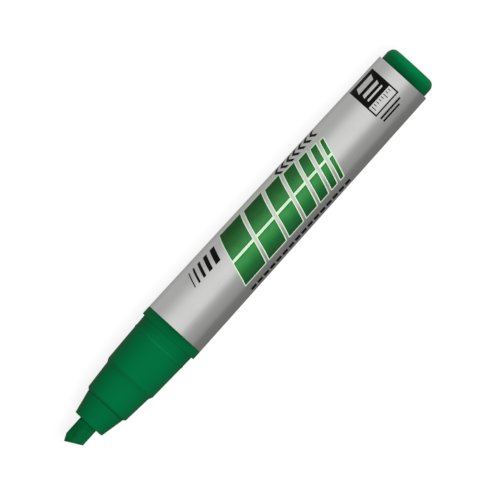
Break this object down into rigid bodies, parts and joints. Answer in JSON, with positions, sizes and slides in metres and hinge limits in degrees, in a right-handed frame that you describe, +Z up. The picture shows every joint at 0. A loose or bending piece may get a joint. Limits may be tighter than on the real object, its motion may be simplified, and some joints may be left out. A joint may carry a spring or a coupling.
{
  "type": "permanent marker",
  "caption": "Refillable permanent marker without its cap: tapered aluminium barrel, stepped plastic front section, slanted chisel felt nib and rounded rear plug.",
  "frame": {"origin": "on the surface that the marker lies on, below the middle of its length", "axes": "+X along the marker from its nib to its rear plug, +Z up; the nib's wide side and the print face +Z"},
  "size_m": [0.148, 0.0198, 0.0198],
  "materials": {
    "satin_aluminium": "satin lacquered",
    "green_plastic": "moulded, soft sheen",
    "inked_felt": "pressed fibre soaked with ink",
    "inked_fibre": "bundled fibre soaked with ink",
    "clear_film": "clear wrap",
    "printed_ink": "screen-printed ink on the barrel"
  },
  "bodies": {
    "barrel": {"barrel_tube": "satin_aluminium", "reservoir_core": "inked_fibre", "reservoir_film": "clear_film"},
    "front": {"front_section": "green_plastic", "nib_holder": "green_plastic"},
    "nib": {"nib": "inked_felt"},
    "plug": {"rear_plug": "green_plastic"}
  },
  "joints": [
    {"name": "front_pull", "type": "slide", "parent": "barrel", "child": "front", "axis": [-1, 0, 0], "range_m": [0, 0.038]},
    {"name": "nib_pull", "type": "slide", "parent": "front", "child": "nib", "axis": [-1, 0, 0], "range_m": [0, 0.03]},
    {"name": "plug_pull", "type": "slide", "parent": "barrel", "child": "plug", "axis": [1, 0, 0], "range_m": [0, 0.016]}
  ]
}
